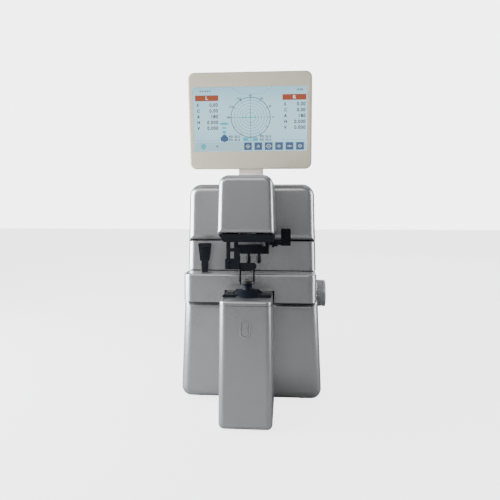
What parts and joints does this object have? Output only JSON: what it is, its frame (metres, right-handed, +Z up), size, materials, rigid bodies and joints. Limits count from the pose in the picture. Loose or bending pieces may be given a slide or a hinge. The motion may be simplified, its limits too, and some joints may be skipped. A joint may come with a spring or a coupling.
{
  "type": "lensmeter",
  "caption": "Bench lensmeter with a tilting touch screen, a lens table moved by a side knob, a sprung lens holder, a swing-in marker and a nose-pad slider.",
  "frame": {"origin": "on the optical axis, at the underside of the rubber pad under the pillar, which is the plane the instrument stands on", "axes": "+Z up along the optical axis, -Y towards the user, +X to the user's right"},
  "size_m": [0.2024, 0.2509, 0.4532],
  "materials": {
    "silver": "satin silver-grey paint",
    "black_plastic": "fine moulded texture",
    "rubber": "matt",
    "monitor_beige": "fine moulded texture",
    "glass": "clear, polished",
    "display": "lit liquid crystal panel",
    "cast_aluminium": "bead-blasted casting",
    "steel": "ground steel",
    "panel_grey": "textured paint",
    "circuit_board": "solder mask",
    "plated_steel": "zinc plated"
  },
  "bodies": {
    "base": {"lower_shell": "silver", "pillar_shell": "silver", "pillar_cap": "silver", "button_bezel": "silver", "mid_shell": "silver", "upper_skirt": "silver", "upper_shell": "silver", "head_shell": "silver", "nosepiece": "black_plastic", "nosepiece_base": "black_plastic", "head_bottom_cover": "black_plastic", "holder_guide": "black_plastic", "power_entry": "black_plastic", "rubber_feet": "rubber", "nosepiece_tip": "rubber", "screen_neck": "monitor_beige", "imaging_lens": "glass", "collimator_lens": "glass", "column_frame": "cast_aluminium", "sensor_barrel": "cast_aluminium", "lamp_tube": "cast_aluminium", "pinhole_plate": "cast_aluminium", "base_plate": "steel", "table_guides": "steel", "holder_spring": "steel", "panel_screws": "steel", "rear_panel": "panel_grey", "main_board": "circuit_board", "sensor_board": "circuit_board", "button_board": "circuit_board", "lamp_board": "circuit_board", "power_supply": "plated_steel", "data_ports": "plated_steel"},
    "lens_table": {"lens_table": "silver", "table_rack": "steel", "slider_rail": "steel"},
    "table_knob": {"table_knob": "silver", "knob_cap": "silver", "pinion_shaft": "steel"},
    "nose_pad_slider": {"nose_pad_slider": "black_plastic"},
    "lens_holder": {"holder_slide": "black_plastic", "holder_bar": "black_plastic", "holder_tips": "rubber"},
    "marker_lever": {"marker_crank": "black_plastic", "marker_shaft": "steel", "marker_handle": "black_plastic"},
    "marker_link": {"marker_link": "black_plastic"},
    "marker_unit": {"marker_block": "black_plastic"},
    "pen_left": {"marker_pen_left": "black_plastic"},
    "pen_centre": {"marker_pen_centre": "black_plastic"},
    "pen_right": {"marker_pen_right": "black_plastic"},
    "read_button": {"read_button": "silver"},
    "side_button": {"side_button": "silver"},
    "power_rocker": {"power_rocker": "black_plastic"},
    "screen": {"screen_bezel": "monitor_beige", "touch_glass": "glass", "display_panel": "display", "screen_rear_shell": "monitor_beige", "screen_hinge_pin": "steel", "screen_board": "circuit_board"}
  },
  "joints": [
    {"name": "table_slide", "type": "slide", "parent": "base", "child": "lens_table", "axis": [0, 1, 0], "range_m": [-0.011, 0.014]},
    {"name": "table_knob_turn", "type": "hinge", "parent": "base", "child": "table_knob", "pos_m": [0.095, 0.088, 0.146], "axis": [1, 0, 0], "range_deg": [-100.3, 78.8]},
    {"name": "nose_pad_slide", "type": "slide", "parent": "lens_table", "child": "nose_pad_slider", "axis": [1, 0, 0], "range_m": [0, 0.126]},
    {"name": "lens_holder_lift", "type": "slide", "parent": "base", "child": "lens_holder", "axis": [0, 0, 1], "range_m": [0, 0.02], "stiffness_N_per_m": 40, "springref_m": -0.01, "deforming": ["holder_spring"]},
    {"name": "marker_swing", "type": "hinge", "parent": "base", "child": "marker_lever", "pos_m": [0.03, 0.017, 0.2227], "axis": [1, 0, 0], "range_deg": [0, 80]},
    {"name": "marker_link_swing", "type": "hinge", "parent": "base", "child": "marker_link", "pos_m": [0.03, 0.025, 0.23], "axis": [1, 0, 0], "range_deg": [0, 80]},
    {"name": "marker_level", "type": "hinge", "parent": "marker_lever", "child": "marker_unit", "pos_m": [0.024, 0.017, 0.2397], "axis": [1, 0, 0], "range_deg": [-80, 0]},
    {"name": "pen_press_left", "type": "slide", "parent": "marker_unit", "child": "pen_left", "axis": [0, 0, 1], "range_m": [0, 0.003], "stiffness_N_per_m": 100, "springref_m": -0.002},
    {"name": "pen_press_centre", "type": "slide", "parent": "marker_unit", "child": "pen_centre", "axis": [0, 0, 1], "range_m": [0, 0.003], "stiffness_N_per_m": 100, "springref_m": -0.002},
    {"name": "pen_press_right", "type": "slide", "parent": "marker_unit", "child": "pen_right", "axis": [0, 0, 1], "range_m": [0, 0.003], "stiffness_N_per_m": 100, "springref_m": -0.002},
    {"name": "read_button_press", "type": "slide", "parent": "base", "child": "read_button", "axis": [0, 1, 0], "range_m": [0, 0.0012], "stiffness_N_per_m": 500, "springref_m": -0.0005},
    {"name": "side_button_press", "type": "slide", "parent": "base", "child": "side_button", "axis": [-1, 0, 0], "range_m": [0, 0.0015], "stiffness_N_per_m": 500, "springref_m": -0.0005},
    {"name": "power_rocker_tilt", "type": "hinge", "parent": "base", "child": "power_rocker", "pos_m": [-0.018, 0.206, 0.042], "axis": [1, 0, 0], "range_deg": [-8, 8]},
    {"name": "screen_tilt", "type": "hinge", "parent": "base", "child": "screen", "pos_m": [0, 0.06413, 0.34335], "axis": [1, 0, 0], "range_deg": [-30, 5]}
  ],
  "couplings": [
    {"joint": "table_knob_turn", "follows": "table_slide", "rad_per_m": -125},
    {"joint": "marker_link_swing", "follows": "marker_swing", "ratio": 1},
    {"joint": "marker_level", "follows": "marker_swing", "ratio": -1}
  ]
}
